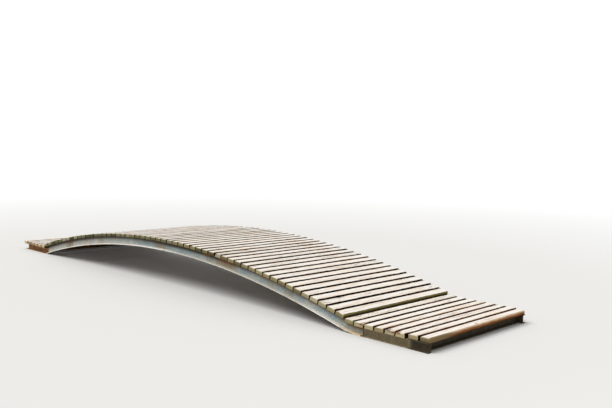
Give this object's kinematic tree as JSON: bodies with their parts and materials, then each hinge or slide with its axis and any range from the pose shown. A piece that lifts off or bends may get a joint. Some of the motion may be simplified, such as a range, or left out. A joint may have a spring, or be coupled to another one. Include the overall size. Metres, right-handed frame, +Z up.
{
  "type": "arched wooden footbridge",
  "caption": "Low arched footbridge without railings: weathered timber cross planks on curved steel channel girders, with a short level landing at each end.",
  "frame": {"origin": "middle of the footprint, on the ground", "axes": "+X along the bridge towards the end whose girders have a flatter tail, +Y across it towards the back, +Z up"},
  "size_m": [8.8778, 1.96, 0.6502],
  "materials": {
    "weathered_wood": "bare sawn planks, sun-bleached, algae on the end grain",
    "painted_steel": "chalky blue-grey paint with rust breaking through",
    "rusty_steel": "paint gone, brown rust"
  },
  "bodies": {
    "root": {"arch_girder_back": "painted_steel", "arch_girder_front": "painted_steel", "arch_planks_01": "weathered_wood", "arch_planks_02": "weathered_wood", "arch_planks_03": "weathered_wood", "arch_planks_04": "weathered_wood", "arch_planks_05": "weathered_wood", "arch_planks_06": "weathered_wood", "arch_planks_07": "weathered_wood", "arch_planks_08": "weathered_wood", "arch_planks_09": "weathered_wood", "arch_planks_10": "weathered_wood", "arch_planks_11": "weathered_wood", "arch_planks_12": "weathered_wood", "arch_planks_13": "weathered_wood", "arch_planks_14": "weathered_wood", "arch_planks_15": "weathered_wood", "arch_planks_16": "weathered_wood", "arch_planks_17": "weathered_wood", "arch_planks_18": "weathered_wood", "arch_tie_1": "painted_steel", "arch_tie_2": "painted_steel", "arch_tie_3": "painted_steel", "arch_tie_4": "painted_steel", "arch_tie_5": "painted_steel", "left_landing_planks_1": "weathered_wood", "left_landing_planks_2": "weathered_wood", "left_landing_ties": "rusty_steel", "left_splice_back": "rusty_steel", "left_splice_front": "rusty_steel", "left_stringer_back": "rusty_steel", "left_stringer_front": "rusty_steel", "right_landing_planks_1": "weathered_wood", "right_landing_planks_2": "weathered_wood", "right_landing_ties": "rusty_steel", "right_splice_back": "rusty_steel", "right_splice_front": "rusty_steel", "right_stringer_back": "rusty_steel", "right_stringer_front": "rusty_steel", "tail_planks": "weathered_wood"}
  },
  "joints": []
}
